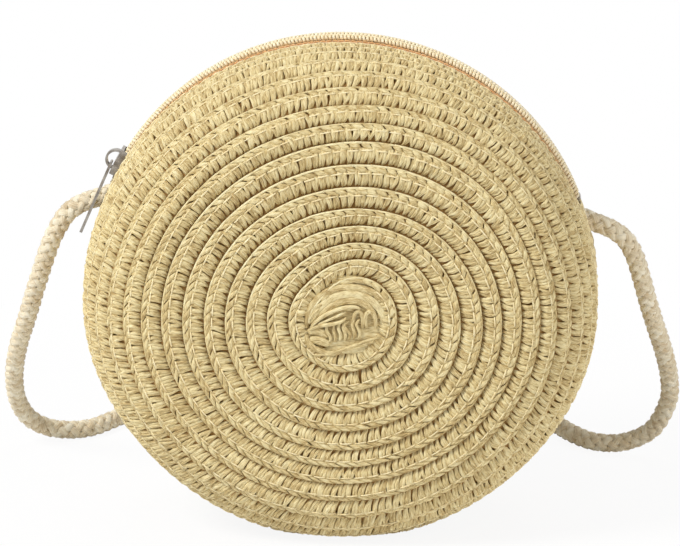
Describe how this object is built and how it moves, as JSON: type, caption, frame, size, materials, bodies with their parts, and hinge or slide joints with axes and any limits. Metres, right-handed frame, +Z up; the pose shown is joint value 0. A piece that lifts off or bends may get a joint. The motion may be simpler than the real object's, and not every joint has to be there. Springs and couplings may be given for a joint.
{
  "type": "circle bag",
  "caption": "Round shoulder bag of coiled, sewn straw braid with a zip over the top of its rim, a metal puller, a cloth lining and a knotted rope strap.",
  "frame": {"origin": "on the ground under the middle of the bag, where its rim is flattened", "axes": "+Z up, +Y from the front face to the back face, +X towards the open end of the zip"},
  "size_m": [0.2501, 0.1913, 0.1754],
  "materials": {
    "straw": "matte twisted straw",
    "seam_thread": "matte thread",
    "lining_cloth": "matte cotton",
    "zip_tape": "matte woven tape",
    "zip_coil": "satin nylon",
    "nickel": "polished nickel plate",
    "strap_rope": "matte plaited cotton"
  },
  "bodies": {
    "bag": {"front_shell": "straw", "back_shell": "straw", "rim_seam": "seam_thread", "front_lining": "lining_cloth", "back_lining": "lining_cloth", "zip_tape_front": "zip_tape", "zip_tape_back": "zip_tape", "zip_coil_front": "zip_coil", "zip_coil_back": "zip_coil", "zip_top_stops": "nickel", "zip_bottom_stop": "nickel", "strap_knot_left": "strap_rope", "strap_knot_right": "strap_rope", "strap_left": "strap_rope", "strap_right": "strap_rope", "strap_coil": "strap_rope"},
    "slider": {"slider": "nickel", "slider_bridge": "nickel"},
    "puller": {"puller_tab": "nickel"}
  },
  "joints": [
    {"name": "slider_run", "type": "hinge", "parent": "bag", "child": "slider", "pos_m": [0, 0, 0.086], "axis": [0, 1, 0], "range_deg": [0, 126]},
    {"name": "puller_swing", "type": "hinge", "parent": "slider", "child": "puller", "pos_m": [-0.08148, 0, 0.12801], "axis": [0, 1, 0], "range_deg": [0, 150]}
  ]
}
